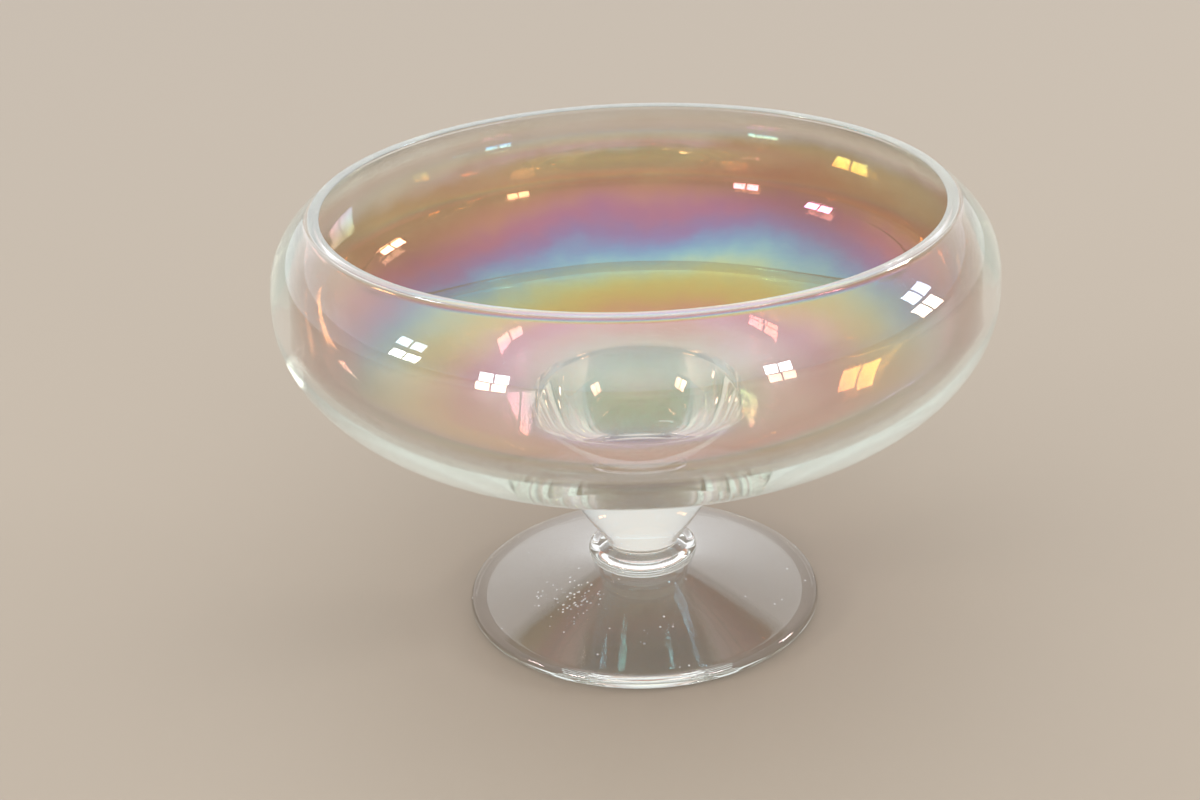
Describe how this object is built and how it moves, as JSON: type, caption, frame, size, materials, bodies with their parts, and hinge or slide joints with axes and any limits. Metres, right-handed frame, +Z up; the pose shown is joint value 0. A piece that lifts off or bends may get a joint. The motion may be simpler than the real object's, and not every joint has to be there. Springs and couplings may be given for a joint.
{
  "type": "footed glass bowl",
  "caption": "Squat blown-glass bowl with a shimmering film, an incurved shoulder and a ground rim, on a flared stem, a collar and a round foot.",
  "frame": {"origin": "middle of the foot, on the surface that the bowl stands on", "axes": "+Z up along the axis that all the pieces are turned about; the bowl is the same all round, so +X and +Y are free"},
  "size_m": [0.2, 0.2, 0.127],
  "materials": {
    "iridescent_glass": "clear blown glass, fire-polished, under a thin shimmering metal-oxide film of gold, red, violet, blue and green bands",
    "pearly_glass": "fire-polished glass with a milky, pearly look",
    "collar_glass": "clear fire-polished glass with a faint milky tone",
    "clear_glass": "clear fire-polished glass with a few seeds and light scuffs"
  },
  "bodies": {
    "root": {"bowl": "iridescent_glass", "stem": "pearly_glass", "collar": "collar_glass", "foot": "clear_glass"}
  },
  "joints": []
}
